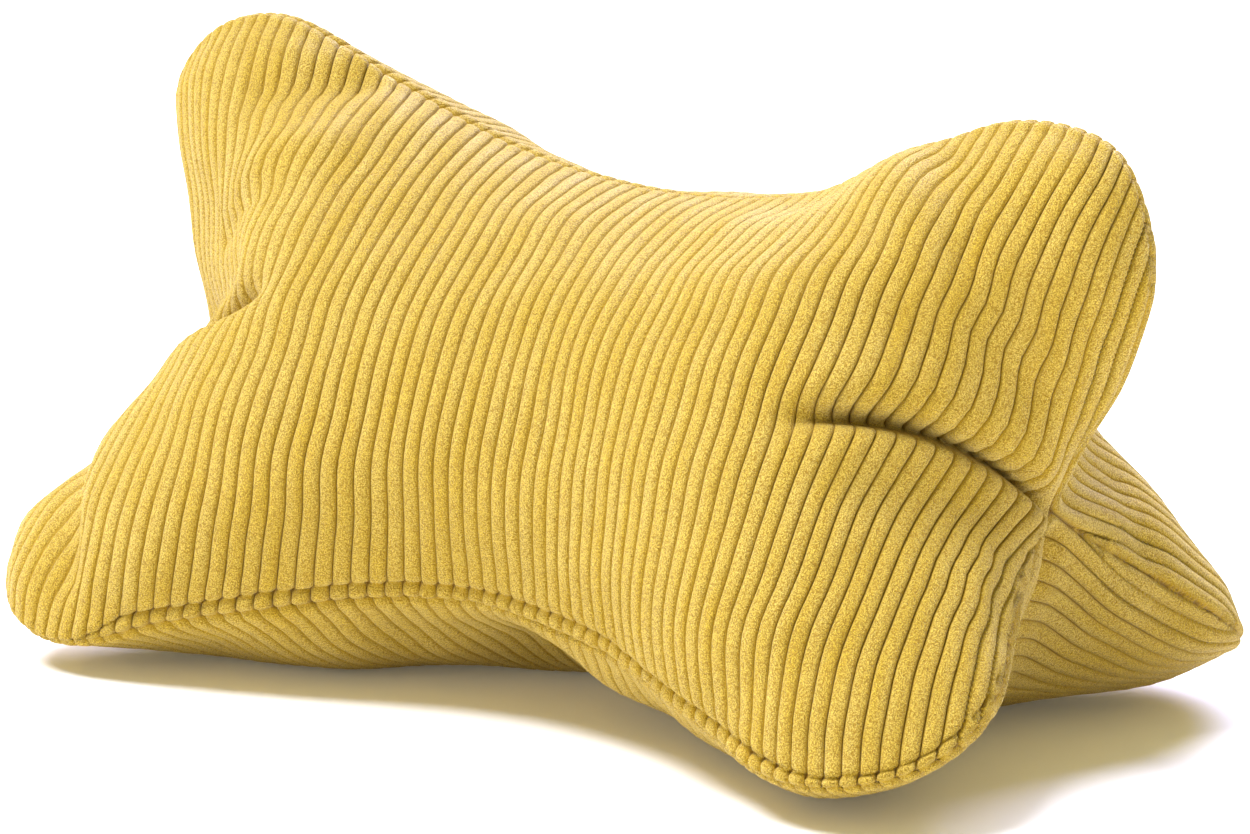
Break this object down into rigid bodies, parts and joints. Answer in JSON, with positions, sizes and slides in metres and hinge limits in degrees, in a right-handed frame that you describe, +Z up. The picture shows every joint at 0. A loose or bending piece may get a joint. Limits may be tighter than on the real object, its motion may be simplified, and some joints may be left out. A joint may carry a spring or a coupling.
{
  "type": "neck pillow",
  "caption": "Bone-shaped stuffed neck pillow of three wide-wale cord panels, with three rounded lobes at each end and a drawn-in waist, resting on one panel.",
  "frame": {"origin": "centre of the bounding box's bottom, on the surface that the pillow rests on", "axes": "+X along the pillow, -Y towards the side with the edge-stitched closing seam, +Z up"},
  "size_m": [0.4244, 0.2502, 0.2287],
  "materials": {
    "cord": "matte wide-wale cord with a short brushed pile, mustard yellow"
  },
  "bodies": {
    "root": {"pillow": "cord"}
  },
  "joints": []
}
